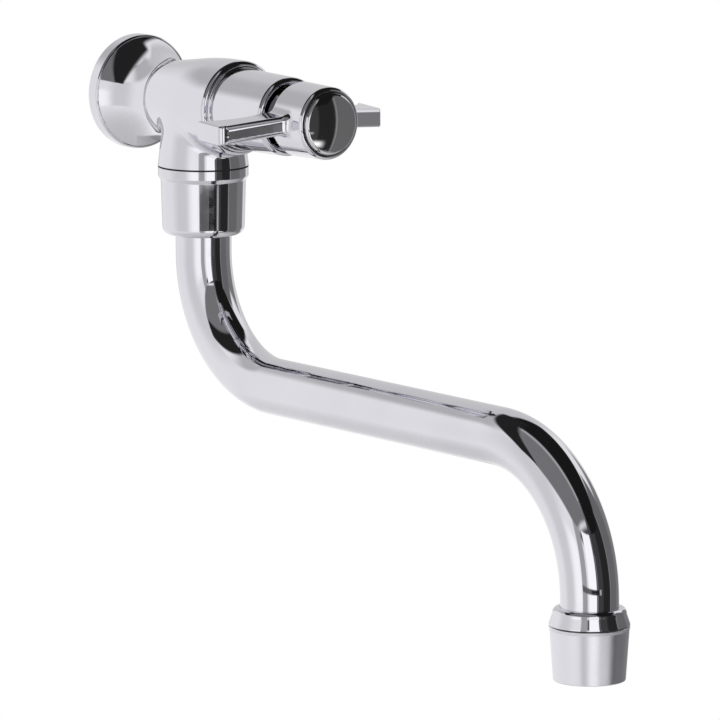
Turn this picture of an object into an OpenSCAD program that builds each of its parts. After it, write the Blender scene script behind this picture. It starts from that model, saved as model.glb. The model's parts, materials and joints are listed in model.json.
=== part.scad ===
// Wall-mounted tap with a two-winged handle, a swivelling S spout and an
// aerator. Millimetres. The origin lies on the inlet axis in the wall plane:
// +Y runs into the wall, -Y out of it towards the user, and +Z is up.
// The barrel axis runs along -Y, and s below means the distance from the wall.

/* [Inlet and rosette] */
// Outer radius of the inlet thread (G 1/2, drawn as a plain spigot)
inlet_r = 10.48; // [10:0.01:10.9]
// Length of the inlet thread behind the wall plane
inlet_behind = 14; // [8:1:20]
// Length of the inlet thread in front of the wall plane
inlet_front = 6; // [4:0.5:9]
// Radius of the inlet waterway
inlet_bore_r = 6.5; // [4.5:0.1:7.2]
// Outer radius of the rosette at the wall
rosette_r = 22.6; // [22:0.1:28]
// Depth of the rosette's straight rim
rosette_rim = 4.6; // [3.5:0.1:6]
// Depth of the whole rosette, wall to valve body
rosette_len = 27; // [25:0.5:28]
// Smallest outer radius of the rosette's neck
rosette_neck_r = 14.2; // [13.6:0.1:14.6]
// Distance from the rosette's narrowest section to the valve body
rosette_flare = 4.5; // [2:0.1:6]
// Wall of the rosette
rosette_wall = 1.6; // [1.2:0.1:2]

/* [Valve body] */
// Largest outer radius of the barrel
barrel_r = 18.6; // [18.3:0.01:21]
// Length from the rosette to where the barrel is fullest
barrel_swell = 37.9; // [34:0.1:46]
// Straight part of the barrel before its lip
barrel_lip = 6.2; // [5:0.1:12]
// Edge rounding of the lip
lip_round = 1.9; // [0.8:0.1:2.1]
// Distance from the wall to the swivel axis
swivel_s = 45.6; // [45:0.1:50]
// Outer radius of the outlet branch at its lower face
branch_r = 17.9; // [17.6:0.1:18.6]
// Outer radius of the outlet branch on the barrel axis
branch_top_r = 14.9; // [14:0.1:16]
// Depth of the outlet branch's lower face below the barrel axis
branch_drop = 25; // [24:0.1:30]
// Outer radius of the outlet's threaded spigot
spigot_r = 15; // [14.4:0.1:15.4]
// Length of the outlet's threaded spigot
spigot_len = 15; // [13.5:0.5:18]
// Radius of the waterway above the spout
outlet_bore_r = 8.5; // [6:0.1:9.4]

/* [Headwork] */
// Outer radius of the headwork thread
hw_thread_r = 12; // [11.8:0.1:12.8]
// Radius of the ceramic discs
disc_r = 9; // [8.4:0.1:9.3]
// Thickness of each ceramic disc
disc_t = 4; // [3:0.1:4.5]
// Radius of the spindle
spindle_r = 5; // [4.6:0.1:5.4]
// Side of the square drive on the spindle
drive_w = 6.4; // [5:0.1:6.4]
// Across-flats size of the headwork's hexagon
hex_af = 24; // [20:0.5:24.2]

/* [Bonnet] */
// Outer radius of the bonnet sleeve at its rear end
bonnet_r = 15.8; // [15.6:0.05:16.2]
// Outer radius of the bonnet sleeve at its mouth
bonnet_front_r = 15.3; // [15.2:0.05:15.8]
// Wall of the bonnet sleeve
bonnet_wall = 1.5; // [1:0.1:1.5]
// Length of the bonnet sleeve
bonnet_len = 30.5; // [28:0.5:34]
// Edge rounding of the bonnet sleeve
bonnet_round = 1.8; // [0.6:0.1:1.9]
// Length of the bead ring between the lip and the bonnet
bead_len = 1.6; // [1.2:0.1:2.4]
// Outer radius of the bead ring
bead_r = 16.9; // [16.6:0.1:17.2]

/* [Handle] */
// Length of the gap between the bonnet and the hub
handle_gap = 6.3; // [4:0.1:10]
// Radius of the hub at its rear edge
hub_r = 14.45; // [14.2:0.05:16]
// Radius of the hub at its front edge
hub_front_r = 14.05; // [13.9:0.05:14.2]
// Length of the hub
hub_len = 18.5; // [17.5:0.1:23]
// Edge rounding of the hub's front
hub_round = 1.5; // [0.6:0.1:1.6]
// Distance from the barrel axis to the tip of each wing
wing_span = 38.9; // [32:0.1:46]
// Thickness of the wings
wing_t = 7.4; // [5:0.1:9]
// Depth of the wings at their tips
wing_depth = 17.0; // [16:0.1:20]
// Sweep of the wings back to the wall
wing_sweep = 21; // [16:0.1:23]
// Droop of the wings below the barrel axis
wing_droop = 6.5; // [0:0.1:9]
// Pitch that lifts the wings' rear edges
wing_pitch = 6; // [0:0.1:9]
// Tilt at which the closed lever rests
wing_tilt = 0.7; // [0:0.1:3]
// Edge rounding of the wings
wing_round = 1.7; // [0.8:0.1:2.4]
// Radius of the cap in the hub
cap_r = 12.0; // [10:0.1:12.4]
// Height of the cap's dome
cap_rise = 2.2; // [1:0.1:3.5]

/* [Union nut] */
// Outer radius of the nut's upper band
nut_band_r = 17.8; // [17.6:0.1:18.6]
// Outer radius of the nut below its band
nut_r = 16.75; // [16.7:0.05:17.2]
// Outer radius of the nut above its bottom rounding
nut_foot_r = 16.3; // [16.2:0.1:16.6]
// Height of the nut
nut_h = 27.1; // [26.5:0.1:32]
// Bottom rounding of the nut
nut_round = 3.4; // [2:0.1:4]

/* [Spout] */
// Outer radius of the spout tube
tube_r = 11; // [10.6:0.1:11.2]
// Wall of the spout tube
tube_wall = 1.2; // [0.8:0.1:1.4]
// Distance from the swivel axis to the outlet axis
reach = 241; // [180:1:300]
// Bend radius below the nut
bend1_r = 47.4; // [30:0.1:60]
// Bend radius above the outlet
bend2_r = 53.7; // [30:0.1:70]
// Straight tube between the nut and the first bend
tube_drop = 7.3; // [4:0.1:40]
// Straight tube between the second bend and the aerator
tube_end = 3; // [1:0.1:20]

/* [Aerator] */
// Largest outer radius of the aerator
aer_r = 15.2; // [14.8:0.1:17]
// Outer radius of the aerator at its mouth
aer_mouth_r = 13.5; // [13.2:0.1:14.5]
// Height of the polished ring
ring_h = 6.8; // [5.5:0.1:9]
// Height of the satin shell
shell_h = 20.7; // [18:0.1:26]

/* [Hidden] */

$fn = 96;

// Clearances: a running fit, a fixed fit, an open gap and a cut's overrun
run_fit = 0.05;
fix_fit = 0.02;
air = 0.4;
over = 1;
// Edge break on faces that meet with a visible joint line
break_w = 0.35;

// Stations along the barrel axis, as distances from the wall
s_body = rosette_len;
s_full = s_body + barrel_swell;
s_lip = s_full + barrel_lip;
seat_back = 5.2;
seat_s = swivel_s - seat_back;
seal_t = 2.2;
s_fixed = seat_s + seal_t;
s_moving = s_fixed + disc_t;
s_foot = s_moving + disc_t;
foot_t = 3;
washer_t = 1;
s_washer = s_foot + foot_t;
s_neck = s_washer + washer_t;
s_thread = s_neck + 1.8;
chamber_end = s_thread - 0.4;
groove_w = 2.2;
s_ring_groove = s_lip - 1.1 - groove_w;
s_bonnet = s_lip + bead_len;
s_mouth = s_bonnet + bonnet_len;
s_hub = s_mouth + handle_gap;
s_front = s_hub + hub_len;

// Headwork outside the body
hw_flange_r = bonnet_r - bonnet_wall - fix_fit;
hw_flange_t = bead_len;
hex_len = 6;
hw_collar_len = 4;
hw_neck_r = 8;
cage_r = disc_r + 1.7;
chamber_r = cage_r + 0.35;
s_hex = s_lip + hw_flange_t;
s_collar = s_hex + hex_len;
s_hw_end = s_mouth - 7.4;
clip_t = 1.2;
clip_slot = 0.1;
clip_r = 7;
stem_groove_r = spindle_r - 1;
ring_cord = 0.9;
seal_cord = 0.8;
seal_inset = 8;
seal_pitch = 6;
s_seal_rear = s_neck + seal_inset;
s_seal_front = s_seal_rear + seal_pitch;
tongue_w = 2.4;
tongue_h = 1.4;

// Handle stations
mouth_r = bonnet_front_r - 3.1;
mouth_lip = 2.6;
skirt_r = mouth_r - 0.8;
skirt_in_r = hw_neck_r + 0.6;
s_skirt = s_hw_end + clip_slot;
s_socket = s_skirt + 8;
web_t = 2.4;
cap_t = 3.4;
s_cap = s_front - cap_t;
screw_head_r = 4.4;
screw_head_h = 2.8;
screw_r = 2.5;
screw_len = 10;
screw_hole = 12;
s_web = s_cap - screw_head_h - 0.8;
s_drive = s_web - web_t - 0.3;
drive_gap = 0.05;
edge_r = 0.7;

// Wings: front edge at the tips, rear edge beside the hub, and the hollow behind
wing_setback = 17;
wing_root = 12;
s_wing = s_front - wing_setback;
wing_back = s_hub - 2;
tip_r = 2.4;
hollow_x = bonnet_r + 0.3;
hollow_dx = wing_span - hollow_x;
hollow_ds = wing_back - s_wing + wing_depth;
hollow_r = (hollow_dx * hollow_dx + hollow_ds * hollow_ds) / (2 * hollow_ds);

// Rosette bell: one concave arc from the rim to the neck
bell_r = rosette_r - 1;
bell_s = rosette_rim + 0.9;
bell_fall = bell_r - rosette_neck_r;
neck_s = rosette_len - rosette_flare;
bell_run = neck_s - bell_s;
bell_arc = (bell_run * bell_run + bell_fall * bell_fall) / (2 * bell_fall);
guide_len = 6.5;
tail_r = inlet_r - 0.48;
gasket_t = 1.5;
gasket_w = 2;

// Barrel: a cone that runs into an arc at the fullest section
cone_slope = 0.142;
arc_run = 18;
barrel_arc = arc_run / sin(atan(cone_slope));
cone_end_s = s_full - arc_run;
cone_end_r = barrel_r - barrel_arc + barrel_arc * cos(atan(cone_slope));
cone_start_r = cone_end_r - cone_slope * (cone_end_s - s_body);

// Swivel, from the branch's lower face down
z_joint = -branch_drop;
z_spigot = z_joint - spigot_len;
tube_top = z_joint + 1.6;
spigot_washer_t = 1.2;
collar_t = 3;
collar_r = 13.4;
z_collar_top = z_spigot - spigot_washer_t;
z_collar = z_collar_top - collar_t;
bush_t = 2.5;
z_bush = z_collar - bush_t;
z_nut = z_joint - nut_h;
nut_in_r = 13.9;
o_upper_z = z_joint - 5;
o_lower_z = o_upper_z - 5;
nut_band_h = 3.8;
nut_cham = 1.6;

// Spout centreline
zc1 = z_nut - tube_drop;
out_s = swivel_s + reach;
run_z = zc1 - bend1_r;
run_len = reach - bend1_r - bend2_r;
zc2 = run_z - bend2_r;

// Aerator, from the end of the second bend down
z_ring = zc2 - tube_end;
z_line = z_ring - ring_h;
z_mouth = z_line - shell_h;
tube_seat = ring_h - 1.6;
aer_thread_r = 12;
aer_thread_len = 7.4;
z_thread_end = z_line - aer_thread_len;
aer_gasket_t = 2;
z_insert = z_thread_end - aer_gasket_t;
insert_r = 11.3;
lip_t = 1;
grid_t = 3.6;
z_grid = z_mouth + lip_t;
hole_pitch = 2.6;

// Ring-shaped helpers ------------------------------------------------------

// Children drawn along +Z are laid along the barrel axis from station s
module along(s = 0) {
    translate([0, -s, 0]) rotate([90, 0, 0]) children();
}

// Children drawn on the Z axis are moved to the swivel axis
module at_swivel(z = 0) {
    translate([0, -swivel_s, z]) children();
}

// Children drawn on the Z axis are moved to the outlet axis
module at_outlet(z = 0) {
    translate([0, -out_s, z]) children();
}

// Flat washer
module washer(ro, ri, t) {
    difference() {
        cylinder(r = ro, h = t);
        translate([0, 0, -over]) cylinder(r = ri, h = t + 2 * over);
    }
}

// Round-section ring centred on z = 0
module o_ring(ri, cord) {
    rotate_extrude() translate([ri + cord, 0]) circle(r = cord);
}

// Rectangle with four round corners, its corner at the origin
module round_rect(w, h, r) {
    translate([r, 0]) square([w - 2 * r, h]);
    translate([0, r]) square([w, h - 2 * r]);
    for (x = [r, w - r], y = [r, h - r]) translate([x, y]) circle(r = r);
}

// Area to take off an outer top corner at (x, y) to round it with radius r
module round_corner(x, y, r) {
    difference() {
        translate([x - r, y - r]) square([r + over, r + over]);
        translate([x - r, y - r]) circle(r = r);
    }
}

// Rosette and inlet --------------------------------------------------------

module wall_gasket() {
    color([0.12, 0.12, 0.12])
        along() washer(rosette_r - rosette_wall - fix_fit,
                       rosette_r - rosette_wall - gasket_w, gasket_t);
}

// Bell profile between the axis and a radius, with the arc eased by a wall
module bell_profile(r, arc) {
    difference() {
        square([r, rosette_len]);
        translate([rosette_neck_r + bell_arc, neck_s]) circle(r = arc, $fn = 180);
    }
}

module rosette() {
    color([0.86, 0.86, 0.88])
        along() rotate_extrude() difference() {
            union() {
                difference() {
                    square([rosette_r, bell_s]);
                    round_corner(rosette_r, bell_s, bell_s - rosette_rim);
                }
                bell_profile(bell_r, bell_arc);
            }
            translate([0, -over]) square([rosette_r - rosette_wall, gasket_t + over]);
            intersection() {
                bell_profile(bell_r, bell_arc + rosette_wall);
                square([rosette_r, rosette_len - guide_len]);
            }
            square([tail_r + run_fit, rosette_len + over]);
        }
}

// Barrel profile from the rosette to the lip
module barrel_profile() {
    polygon([[0, s_body], [cone_start_r, s_body], [cone_end_r, cone_end_s], [0, cone_end_s]]);
    intersection() {
        translate([barrel_r - barrel_arc, s_full]) circle(r = barrel_arc, $fn = 360);
        translate([0, cone_end_s]) square([barrel_r + over, arc_run]);
    }
    difference() {
        translate([0, s_full]) square([barrel_r, barrel_lip]);
        round_corner(barrel_r, s_lip, lip_round);
    }
}

module valve_body() {
    color([0.87, 0.87, 0.89]) difference() {
        union() {
            along(-inlet_behind) cylinder(r = inlet_r, h = inlet_behind + inlet_front);
            along(inlet_front) cylinder(r = tail_r, h = s_body - inlet_front);
            along() rotate_extrude() barrel_profile();
            at_swivel(z_joint + break_w)
                cylinder(r1 = branch_r, r2 = branch_top_r, h = branch_drop - break_w);
            at_swivel(z_joint)
                cylinder(r1 = branch_r - break_w, r2 = branch_r, h = break_w);
            at_swivel(z_spigot) cylinder(r = spigot_r, h = spigot_len + over);
        }
        along(-inlet_behind - over) cylinder(r = inlet_bore_r, h = inlet_behind + seat_s + 2 * over);
        along(seat_s) cylinder(r = chamber_r, h = chamber_end - seat_s);
        along(chamber_end - 0.01) cylinder(r = hw_thread_r + run_fit, h = s_lip - chamber_end + over);
        at_swivel(tube_top - over) cylinder(r = outlet_bore_r, h = -inlet_bore_r - 2 - tube_top + over);
        at_swivel(z_spigot - over) cylinder(r = tube_r + run_fit, h = tube_top - z_spigot + over + fix_fit);
        for (z = [o_upper_z, o_lower_z]) at_swivel(z - groove_w / 2)
            cylinder(r = tube_r + 2 * run_fit + 2 * ring_cord, h = groove_w);
    }
}

// Headwork -----------------------------------------------------------------

module seat_seal() {
    color([0.1, 0.1, 0.1]) along(seat_s) washer(disc_r, inlet_bore_r + 0.3, seal_t);
}

module ceramic_disc_fixed() {
    color([0.95, 0.94, 0.9]) along(s_fixed) difference() {
        cylinder(r = disc_r, h = disc_t);
        for (x = [-1, 1]) translate([x * disc_r / 2, 0, -over])
            cylinder(r = disc_r * 0.28, h = disc_t + 2 * over);
    }
}

module ceramic_disc_moving() {
    notch_w = disc_r * 0.56;
    color([0.92, 0.91, 0.87]) along(s_moving) difference() {
        cylinder(r = disc_r - run_fit, h = disc_t);
        for (y = [-1, 1]) translate([-notch_w / 2, y * disc_r / 2 - disc_r / 4, -over])
            translate([0, y > 0 ? 0 : -disc_r / 2, 0])
                cube([notch_w, disc_r, disc_t + 2 * over]);
        translate([-disc_r, -tongue_w / 2 - drive_gap, disc_t - tongue_h - drive_gap])
            cube([2 * disc_r, tongue_w + 2 * drive_gap, tongue_h + over]);
    }
}

module headwork_housing() {
    window_w = 7;
    color([0.8, 0.68, 0.38]) difference() {
        union() {
            along(s_fixed) cylinder(r = cage_r, h = s_thread - s_fixed + 0.01);
            along(s_thread) cylinder(r = hw_thread_r, h = s_lip - s_thread);
            along(s_lip) cylinder(r = hw_flange_r, h = hw_flange_t);
            along(s_hex) cylinder(r = hex_af / sqrt(3), h = hex_len, $fn = 6);
            along(s_collar) cylinder(r = hw_flange_r, h = hw_collar_len);
            along(s_collar) cylinder(r = hw_neck_r, h = s_hw_end - s_collar);
        }
        along(s_fixed - over) cylinder(r = disc_r + run_fit, h = s_neck - s_fixed + over);
        along(s_neck - over) cylinder(r = spindle_r + run_fit, h = s_hw_end - s_neck + 2 * over);
        for (a = [0, 90]) along(s_moving + 0.6) rotate([0, 0, a])
            translate([-cage_r - over, -window_w / 2, 0])
                cube([2 * (cage_r + over), window_w, s_washer - s_moving - 1.2]);
        along(s_ring_groove) difference() {
            cylinder(r = hw_thread_r + over, h = groove_w);
            translate([0, 0, -over]) cylinder(r = hw_thread_r - 2 * ring_cord, h = groove_w + 2 * over);
        }
    }
}

module headwork_o_ring() {
    color([0.1, 0.1, 0.1]) along(s_ring_groove + groove_w / 2)
        o_ring(hw_thread_r - 2 * ring_cord + fix_fit, ring_cord);
}

module thrust_washer() {
    color([0.9, 0.9, 0.9]) along(s_washer)
        washer(disc_r, spindle_r + 2 * run_fit, washer_t);
}

module stem_groove(s, w, r) {
    along(s) difference() {
        cylinder(r = spindle_r + over, h = w);
        translate([0, 0, -over]) cylinder(r = r, h = w + 2 * over);
    }
}

module spindle() {
    color([0.8, 0.68, 0.38]) difference() {
        union() {
            along(s_foot) cylinder(r = disc_r - run_fit, h = foot_t);
            along(s_foot - tongue_h) translate([-disc_r * 0.75, -tongue_w / 2, 0])
                cube([disc_r * 1.5, tongue_w, tongue_h + 0.5]);
            along(s_foot) cylinder(r = spindle_r, h = s_hw_end + 3 - s_foot);
            along(s_hw_end + 2) translate([-drive_w / 2, -drive_w / 2, 0])
                cube([drive_w, drive_w, s_drive - s_hw_end - 2]);
        }
        for (s = [s_seal_rear, s_seal_front])
            stem_groove(s, 2 * seal_cord + 0.4, spindle_r - 2 * seal_cord);
        stem_groove(s_hw_end + clip_slot / 2, clip_t + clip_slot, stem_groove_r);
        along(s_drive - screw_hole) cylinder(r = screw_r + fix_fit, h = screw_hole + over);
    }
}

module spindle_o_ring(s) {
    color([0.1, 0.1, 0.1]) along(s + seal_cord + 0.2)
        o_ring(spindle_r - 2 * seal_cord + fix_fit, seal_cord);
}

module spindle_o_ring_rear() { spindle_o_ring(s_seal_rear); }

module spindle_o_ring_front() { spindle_o_ring(s_seal_front); }

module spindle_circlip() {
    ear_w = 3;
    color([0.35, 0.35, 0.37]) along(s_hw_end + clip_slot) difference() {
        washer(clip_r, stem_groove_r + fix_fit, clip_t);
        translate([-ear_w / 2, 0, -over]) cube([ear_w, clip_r + over, clip_t + 2 * over]);
    }
}

// Bonnet -------------------------------------------------------------------

module bead_ring() {
    half = bead_len / 2;
    color([0.87, 0.87, 0.89]) along(s_lip) rotate_extrude() difference() {
        union() {
            translate([hw_flange_r + fix_fit, 0])
                square([bead_r - half - hw_flange_r - fix_fit, bead_len]);
            translate([bead_r - half, half]) circle(r = half);
        }
        translate([0, -over]) square([hw_flange_r + fix_fit, bead_len + 2 * over]);
    }
}

module bonnet_sleeve() {
    inner = bonnet_r - bonnet_wall;
    bevel = 1.1;
    color([0.87, 0.87, 0.89]) along(s_bonnet) rotate_extrude() difference() {
        polygon([[0, 0], [bonnet_r, 0], [bonnet_front_r, bonnet_len], [0, bonnet_len]]);
        round_corner(bonnet_front_r, bonnet_len, bonnet_round);
        translate([0, -over]) square([inner, bonnet_len - mouth_lip + over]);
        translate([0, -over]) square([mouth_r, bonnet_len + 2 * over]);
        polygon([[mouth_r - over, bonnet_len - bevel - over], [mouth_r + bevel, bonnet_len],
                 [mouth_r + bevel, bonnet_len + over], [mouth_r - over, bonnet_len + over]]);
    }
}

// Handle -------------------------------------------------------------------

// Wing blank: a rounded bar that runs out from the axis, swept and drooped
module wing_bar() {
    root_s = s_wing + wing_span * tan(wing_sweep);
    root_z = wing_root * tan(wing_droop);
    translate([0, -root_s, root_z]) rotate([0, 0, wing_sweep]) rotate([0, wing_droop, 0])
        rotate([wing_pitch, 0, 0]) rotate([90, 0, 90]) linear_extrude(wing_span * 1.3)
            translate([0, -wing_t / 2]) round_rect(wing_depth * 1.4, wing_t, wing_round);
}

// Outline of one wing from above, x outwards and y along the barrel axis
module wing_outline() {
    difference() {
        translate([0, s_wing - wing_depth]) square([wing_span, s_front]);
        translate([hollow_x, wing_back - hollow_r]) circle(r = hollow_r);
        translate([-over, s_wing - wing_depth - over])
            square([hollow_x + over, wing_back - s_wing + wing_depth + over]);
        difference() {
            translate([wing_span - tip_r, s_wing - tip_r - 0.4]) square([tip_r + over, s_front]);
            translate([wing_span - tip_r, s_wing - tip_r - 0.4]) circle(r = tip_r);
        }
    }
}

module wing() {
    intersection() {
        wing_bar();
        translate([0, 0, -wing_span / 2]) linear_extrude(wing_span)
            mirror([0, 1]) wing_outline();
    }
}

module handle() {
    color([0.86, 0.86, 0.88]) difference() {
        union() {
            along(s_hub) rotate_extrude() difference() {
                polygon([[0, 0], [hub_r, 0], [hub_front_r, hub_len], [0, hub_len]]);
                round_corner(hub_front_r, hub_len, hub_round);
                mirror([0, 1]) round_corner(hub_r, 0, edge_r);
            }
            along(s_skirt) cylinder(r = skirt_r, h = s_hub - s_skirt + over);
            rotate([0, -wing_tilt, 0]) {
                wing();
                mirror([1, 0, 0]) wing();
            }
        }
        along(s_skirt - over) cylinder(r = skirt_in_r, h = s_socket - s_skirt + over);
        along(s_socket - over) translate([-drive_w / 2 - drive_gap, -drive_w / 2 - drive_gap, 0])
            cube([drive_w + 2 * drive_gap, drive_w + 2 * drive_gap, s_web - web_t - s_socket + over]);
        along(s_web - web_t - over) cylinder(r = screw_r + 0.2, h = web_t + 2 * over);
        along(s_web) cylinder(r = screw_head_r + 0.4, h = s_front - s_web);
        along(s_cap) cylinder(r = cap_r + run_fit, h = cap_t + cap_rise + over);
    }
}

module handle_screw() {
    slot_w = 1.2;
    color([0.75, 0.75, 0.77]) along(s_web) difference() {
        union() {
            cylinder(r = screw_head_r, h = screw_head_h);
            translate([0, 0, -web_t - screw_len])
                cylinder(r = screw_r, h = web_t + screw_len + 0.01);
        }
        for (a = [0, 90]) rotate([0, 0, a])
            translate([-screw_head_r * 0.6, -slot_w / 2, screw_head_h - 1.4])
                cube([screw_head_r * 1.2, slot_w, 1.4 + over]);
    }
}

module handle_cap() {
    rim = 0.5;
    dome_r = cap_r - 1;
    dome_arc = (dome_r * dome_r + cap_rise * cap_rise) / (2 * cap_rise);
    color([0.3, 0.3, 0.32]) along(s_cap) rotate_extrude() {
        square([cap_r, cap_t]);
        square([cap_r - rim, cap_t + rim]);
        translate([cap_r - rim, cap_t]) circle(r = rim);
        intersection() {
            translate([0, cap_t + cap_rise - dome_arc]) circle(r = dome_arc, $fn = 180);
            square([dome_r, cap_t + cap_rise]);
        }
    }
}

// Union nut and swivel -----------------------------------------------------

module union_nut() {
    taper_top = nut_h - nut_band_h - nut_cham;
    color([0.86, 0.86, 0.88]) at_swivel(z_nut) difference() {
        rotate_extrude() difference() {
            polygon([[0, 0], [nut_foot_r, 0], [nut_foot_r, nut_round], [nut_r, taper_top],
                     [nut_band_r, taper_top + nut_cham], [nut_band_r, nut_h - break_w],
                     [nut_band_r - break_w, nut_h], [0, nut_h]]);
            difference() {
                translate([nut_foot_r - nut_round, -over]) square([nut_round + over, nut_round + over]);
                translate([nut_foot_r - nut_round, nut_round]) circle(r = nut_round);
            }
        }
        translate([0, 0, -over]) cylinder(r = tube_r + air, h = nut_h + 2 * over);
        translate([0, 0, z_bush - z_nut]) cylinder(r = nut_in_r, h = nut_h);
        translate([0, 0, z_spigot - z_nut - 0.5]) cylinder(r = spigot_r + run_fit, h = nut_h);
    }
}

module spigot_washer() {
    color([0.9, 0.9, 0.88]) at_swivel(z_collar_top) washer(collar_r, tube_r + air, spigot_washer_t);
}

module swivel_bush() {
    color([0.9, 0.9, 0.88]) at_swivel(z_bush) washer(nut_in_r - run_fit, tube_r + 2 * run_fit, bush_t);
}

module spout_o_ring(z) {
    color([0.1, 0.1, 0.1]) at_swivel(z) o_ring(tube_r + run_fit, ring_cord);
}

module spout_o_ring_upper() { spout_o_ring(o_upper_z); }

module spout_o_ring_lower() { spout_o_ring(o_lower_z); }

// Spout --------------------------------------------------------------------

module tube_section() {
    difference() {
        circle(r = tube_r);
        circle(r = tube_r - tube_wall);
    }
}

module tube_bend(r) {
    rotate_extrude(angle = 90) translate([r, 0]) tube_section();
}

module spout_tube() {
    end_z = z_ring - tube_seat;
    color([0.86, 0.86, 0.88]) {
        at_swivel(zc1) linear_extrude(tube_top - zc1) tube_section();
        at_swivel(zc1) translate([0, -bend1_r, 0]) rotate([-90, 0, 90]) tube_bend(bend1_r);
        translate([0, -swivel_s - bend1_r, run_z]) rotate([90, 0, 0])
            linear_extrude(run_len) tube_section();
        at_outlet(zc2) translate([0, bend2_r, 0]) rotate([90, 0, -90]) tube_bend(bend2_r);
        at_outlet(end_z) linear_extrude(zc2 - end_z) tube_section();
    }
}

module spout_collar() {
    color([0.8, 0.68, 0.38]) at_swivel(z_collar) washer(collar_r, tube_r + fix_fit, collar_t);
}

// Aerator ------------------------------------------------------------------

module aerator_ring() {
    shoulder_r = 2.2;
    top_r = aer_r - 1.3;
    color([0.87, 0.87, 0.89]) difference() {
        union() {
            at_outlet(z_line) rotate_extrude() difference() {
                polygon([[0, 0], [aer_r - break_w, 0], [aer_r, break_w], [aer_r, break_w + 0.4],
                         [top_r, ring_h - shoulder_r], [top_r, ring_h], [0, ring_h]]);
                round_corner(top_r, ring_h, shoulder_r);
            }
            at_outlet(z_thread_end) cylinder(r = aer_thread_r, h = aer_thread_len + over);
        }
        at_outlet(z_ring - tube_seat) cylinder(r = tube_r + fix_fit, h = tube_seat + over);
        at_outlet(z_thread_end - over) cylinder(r = tube_r - tube_wall, h = z_ring - z_thread_end + over);
    }
}

module aerator_gasket() {
    color([0.1, 0.1, 0.1]) at_outlet(z_insert) washer(insert_r, insert_r - 2.6, aer_gasket_t);
}

// Holes on a hexagonal grid of so many rings
module hole_grid(rings, pitch, r, h) {
    for (i = [-rings : rings], j = [-rings : rings])
        if (abs(i + j) <= rings)
            translate([(i + j / 2) * pitch, j * pitch * sin(60), 0]) cylinder(r = r, h = h, $fn = 24);
}

module aerator_screen() {
    color([0.75, 0.75, 0.77]) at_outlet(z_insert) difference() {
        cylinder(r = insert_r - 2.6 - fix_fit, h = 0.5);
        translate([0, 0, -over]) hole_grid(3, 2.2, 0.6, 3);
    }
}

module aerator_insert() {
    floor_t = 1.6;
    depth = z_insert - z_grid - grid_t;
    color([0.92, 0.92, 0.92]) at_outlet(z_grid + grid_t) difference() {
        cylinder(r = insert_r, h = depth);
        translate([0, 0, -over]) cylinder(r = insert_r - 1.2, h = depth - floor_t + over);
        translate([0, 0, depth - floor_t - over]) for (a = [0 : 30 : 330]) rotate([0, 0, a])
            translate([insert_r - 4.4, 0, 0]) cylinder(r = 0.8, h = floor_t + 2 * over, $fn = 24);
    }
}

module flow_straightener() {
    color([0.92, 0.92, 0.92]) at_outlet(z_grid) difference() {
        cylinder(r = insert_r, h = grid_t);
        translate([0, 0, -over]) hole_grid(3, hole_pitch, 1.05, grid_t + 2 * over);
    }
}

module aerator_shell() {
    neck_drop = 1.6;
    neck_r = aer_r - 0.35;
    color([0.72, 0.72, 0.75]) at_outlet(z_mouth) rotate_extrude() difference() {
        polygon([[0, 0], [aer_mouth_r - break_w, 0], [aer_mouth_r, break_w],
                 [neck_r, shell_h - neck_drop], [aer_r, shell_h - break_w],
                 [aer_r - break_w, shell_h], [0, shell_h]]);
        translate([0, -over]) square([insert_r - 0.8, shell_h]);
        translate([0, lip_t]) square([insert_r + fix_fit, shell_h]);
        translate([0, z_insert + 0.4 - z_mouth])
            square([aer_thread_r + fix_fit, shell_h]);
    }
}

wall_gasket();
rosette();
valve_body();
seat_seal();
ceramic_disc_fixed();
headwork_housing();
headwork_o_ring();
thrust_washer();
bead_ring();
bonnet_sleeve();
union_nut();
spigot_washer();
swivel_bush();
spout_o_ring_upper();
spout_o_ring_lower();
ceramic_disc_moving();
spindle();
spindle_o_ring_rear();
spindle_o_ring_front();
spindle_circlip();
handle();
handle_screw();
handle_cap();
spout_tube();
spout_collar();
aerator_ring();
aerator_gasket();
aerator_screen();
aerator_insert();
flow_straightener();
aerator_shell();
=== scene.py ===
"""Looks of a wall-mounted tap: polished chrome skins, a satin aerator, and a plain pale studio.

Lengths of the tap are in millimetres, and those of the studio in metres. A station is a distance
from the wall along the barrel, and a height is measured from the barrel's axis.
"""

import json
import math

import bpy
import numpy as np
from mathutils import Matrix, Vector


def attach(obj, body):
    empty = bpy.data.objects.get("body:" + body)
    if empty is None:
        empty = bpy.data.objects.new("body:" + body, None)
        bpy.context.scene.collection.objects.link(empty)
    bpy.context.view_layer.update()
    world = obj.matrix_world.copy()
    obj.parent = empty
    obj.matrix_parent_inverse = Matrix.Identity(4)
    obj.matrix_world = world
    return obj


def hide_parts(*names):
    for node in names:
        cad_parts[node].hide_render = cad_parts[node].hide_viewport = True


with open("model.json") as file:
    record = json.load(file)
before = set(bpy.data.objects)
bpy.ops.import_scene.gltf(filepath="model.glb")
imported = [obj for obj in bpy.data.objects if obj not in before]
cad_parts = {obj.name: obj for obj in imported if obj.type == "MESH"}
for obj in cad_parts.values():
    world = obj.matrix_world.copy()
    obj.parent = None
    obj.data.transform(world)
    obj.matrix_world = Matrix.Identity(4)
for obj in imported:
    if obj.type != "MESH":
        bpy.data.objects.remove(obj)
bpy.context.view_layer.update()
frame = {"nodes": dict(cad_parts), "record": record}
NODES = frame["nodes"]
MM = 0.001

# Sizes -------------------------------------------------------------------
# R is a radius, T a thickness, H a length upwards, S a station and Z a height. ROUND and FILLET
# are radii of rounded edges. SWEEP, DROOP, PITCH, TILT and MEET are in degrees.

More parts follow.
